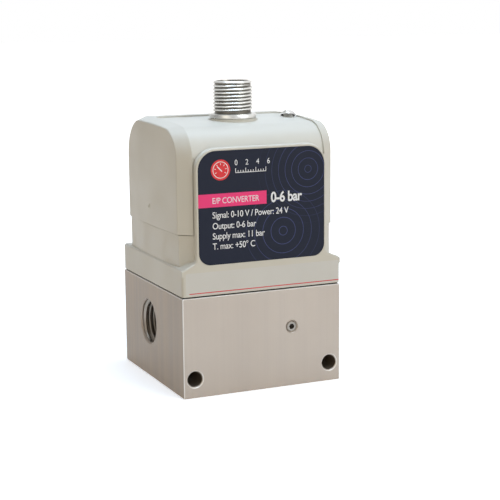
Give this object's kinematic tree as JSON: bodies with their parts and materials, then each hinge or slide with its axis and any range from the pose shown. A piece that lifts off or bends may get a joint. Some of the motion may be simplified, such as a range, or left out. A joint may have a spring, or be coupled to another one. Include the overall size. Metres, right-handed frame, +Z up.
{
  "type": "electro-pneumatic converter",
  "caption": "Compact electro-pneumatic pressure converter: square aluminium valve block with threaded air ports under a moulded electronics housing with a round plug connector.",
  "frame": {"origin": "centre of the valve block's underside", "axes": "+X to the right along the labelled front, +Y to the back, +Z up"},
  "size_m": [0.05, 0.05, 0.0889],
  "materials": {
    "block": "brushed and clear anodised",
    "housing": "fine moulded texture",
    "label": "printed satin film",
    "connector": "turned, nickel plated",
    "black_plastic": "satin",
    "contact": "gold plated",
    "rubber": "matt",
    "lens": "clear, polished",
    "lamp": "glossy",
    "board": "solder-resist varnish",
    "steel": "zinc plated",
    "blackened_steel": "blackened",
    "brass": "turned",
    "winding": "varnished wire",
    "plate": "turned"
  },
  "bodies": {
    "converter_body": {"body_block": "block", "seal_gasket": "rubber", "base_housing": "housing", "cover_shell": "housing", "cover_seal": "rubber", "front_label": "label", "tie_screws": "blackened_steel", "test_plug_screw": "blackened_steel", "bottom_plug": "brass", "bottom_plug_seal": "rubber", "stem_seal": "rubber", "poppet_spring": "steel", "diaphragm": "rubber", "connector_shell": "connector", "connector_insert": "black_plastic", "connector_pins": "contact", "connector_seal": "rubber", "connector_nut": "steel", "status_lens": "lens", "status_lamp": "lamp", "circuit_board": "board", "board_components": "black_plastic", "board_screws": "steel", "pilot_screws": "steel", "pressure_sensor": "black_plastic", "sensor_seal": "rubber", "sensor_leads": "contact", "fill_valve_base": "black_plastic", "fill_valve_yoke": "steel", "fill_valve_coil": "winding", "fill_valve_core": "steel", "fill_valve_spring": "steel", "vent_valve_base": "black_plastic", "vent_valve_yoke": "steel", "vent_valve_coil": "winding", "vent_valve_core": "steel", "vent_valve_spring": "steel"},
    "poppet": {"poppet": "brass", "poppet_seal": "rubber"},
    "piston": {"piston": "plate", "piston_top_plate": "plate", "piston_nut": "steel"},
    "fill_plunger": {"fill_valve_plunger": "steel"},
    "vent_plunger": {"vent_valve_plunger": "steel"}
  },
  "joints": [
    {"name": "poppet_lift", "type": "slide", "parent": "converter_body", "child": "poppet", "axis": [0, 0, 1], "range_m": [-0.0012, 0], "stiffness_N_per_m": 400, "springref_m": 0.003, "deforming": ["poppet_spring", "diaphragm"]},
    {"name": "piston_lift", "type": "slide", "parent": "poppet", "child": "piston", "axis": [0, 0, 1], "range_m": [0, 0.0005], "stiffness_N_per_m": 50, "springref_m": -0.001, "deforming": ["diaphragm"]},
    {"name": "fill_plunger_lift", "type": "slide", "parent": "converter_body", "child": "fill_plunger", "axis": [0, 0, 1], "range_m": [0, 0.0005], "stiffness_N_per_m": 100, "springref_m": -0.003, "deforming": ["fill_valve_spring"]},
    {"name": "vent_plunger_lift", "type": "slide", "parent": "converter_body", "child": "vent_plunger", "axis": [0, 0, 1], "range_m": [0, 0.0005], "stiffness_N_per_m": 100, "springref_m": -0.003, "deforming": ["vent_valve_spring"]}
  ]
}
